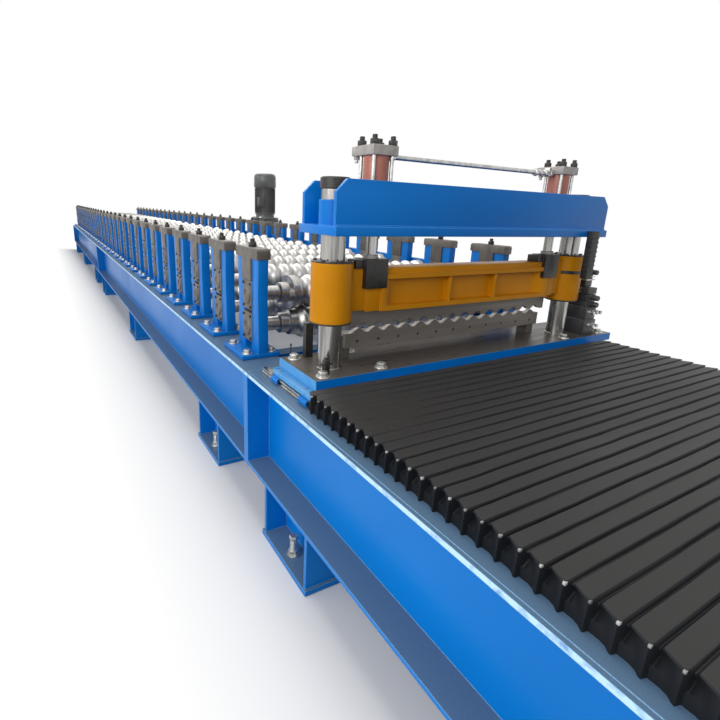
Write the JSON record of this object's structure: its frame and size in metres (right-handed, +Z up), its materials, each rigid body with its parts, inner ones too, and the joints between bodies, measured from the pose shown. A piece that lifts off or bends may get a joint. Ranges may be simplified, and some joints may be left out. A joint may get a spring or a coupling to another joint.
{
  "type": "roll forming machine",
  "caption": "Roll forming machine for corrugated sheet: blue H-beam bed with roll stations, side drive motor and a yellow flying hydraulic shear on rails behind a bellows.",
  "frame": {"origin": "on the floor, under the middle of the machine's bounding box", "axes": "+Y along the bed towards the entry end, -Y towards the shear end where the sheet leaves, +X towards the drive side, +Z up"},
  "size_m": [2.018, 14.6394, 1.6546],
  "materials": {
    "blue_paint": "gloss",
    "yellow_paint": "gloss",
    "ground_steel": "satin",
    "chrome_steel": "polished",
    "blade_steel": "satin",
    "black_metal": "satin",
    "bellows_fabric": "matt",
    "motor_grey": "satin",
    "barrel_red": "gloss"
  },
  "bodies": {
    "root": {"exit_frame": "blue_paint", "main_frame_front": "blue_paint", "main_frame_rear": "blue_paint", "near_stand_1": "blue_paint", "near_stand_2": "blue_paint", "near_stand_3": "blue_paint", "far_stand_1": "blue_paint", "far_stand_2": "blue_paint", "far_stand_3": "blue_paint", "station_04": "chrome_steel", "station_05": "chrome_steel", "station_06": "chrome_steel", "station_07": "chrome_steel", "station_08": "chrome_steel", "station_09": "chrome_steel", "station_10": "chrome_steel", "station_11": "chrome_steel", "station_12": "chrome_steel", "station_13": "chrome_steel", "station_14": "chrome_steel", "station_15": "chrome_steel", "linear_rail_near": "chrome_steel", "linear_rail_far": "chrome_steel", "bellows": "bellows_fabric", "bellows_end_bracket": "blue_paint", "gearbox": "motor_grey", "gearbox_bracket": "blue_paint", "drive_motor": "motor_grey", "fan_hood": "motor_grey", "chain_guard_front": "blue_paint", "chain_guard_rear": "blue_paint"},
    "carriage": {"carriage_plate": "blue_paint", "bed_plate": "blue_paint", "guide_column_near": "chrome_steel", "guide_column_far": "chrome_steel", "top_beam": "blue_paint", "cylinder_near": "barrel_red", "cylinder_far": "barrel_red", "crossover_pipe": "chrome_steel", "lower_blade": "blade_steel", "blade_holder": "ground_steel", "valve_unit": "black_metal", "cable_duct": "black_metal"},
    "head": {"head_casting": "yellow_paint", "upper_blade": "blade_steel", "piston_rod_near": "black_metal", "piston_rod_far": "black_metal"},
    "lower_spin_1": {"lower_roll_1": "chrome_steel"},
    "lower_spin_2": {"lower_roll_2": "chrome_steel"},
    "lower_spin_3": {"lower_roll_3": "chrome_steel"},
    "upper_spin_1": {"upper_roll_1": "chrome_steel"},
    "upper_spin_2": {"upper_roll_2": "chrome_steel"},
    "upper_spin_3": {"upper_roll_3": "chrome_steel"}
  },
  "joints": [
    {"name": "shear_travel", "type": "slide", "parent": "root", "child": "carriage", "axis": [0, -1, 0], "range_m": [0, 0.9], "deforming": ["bellows"]},
    {"name": "cutter_stroke", "type": "slide", "parent": "carriage", "child": "head", "axis": [0, 0, -1], "range_m": [0, 0.04]},
    {"name": "roll_1_lower", "type": "hinge", "parent": "root", "child": "lower_spin_1", "pos_m": [-0.148, -4.88, 0.75], "axis": [1, 0, 0], "continuous": true},
    {"name": "roll_2_lower", "type": "hinge", "parent": "root", "child": "lower_spin_2", "pos_m": [-0.148, -4.465, 0.75], "axis": [1, 0, 0], "continuous": true},
    {"name": "roll_3_lower", "type": "hinge", "parent": "root", "child": "lower_spin_3", "pos_m": [-0.148, -4.05, 0.75], "axis": [1, 0, 0], "continuous": true},
    {"name": "roll_1_upper", "type": "hinge", "parent": "root", "child": "upper_spin_1", "pos_m": [-0.148, -4.88, 0.89], "axis": [1, 0, 0], "continuous": true},
    {"name": "roll_2_upper", "type": "hinge", "parent": "root", "child": "upper_spin_2", "pos_m": [-0.148, -4.465, 0.89], "axis": [1, 0, 0], "continuous": true},
    {"name": "roll_3_upper", "type": "hinge", "parent": "root", "child": "upper_spin_3", "pos_m": [-0.148, -4.05, 0.89], "axis": [1, 0, 0], "continuous": true}
  ],
  "couplings": [
    {"joint": "roll_2_lower", "follows": "roll_1_lower", "ratio": 1},
    {"joint": "roll_3_lower", "follows": "roll_1_lower", "ratio": 1},
    {"joint": "roll_1_upper", "follows": "roll_1_lower", "ratio": -1},
    {"joint": "roll_2_upper", "follows": "roll_1_lower", "ratio": -1},
    {"joint": "roll_3_upper", "follows": "roll_1_lower", "ratio": -1}
  ]
}
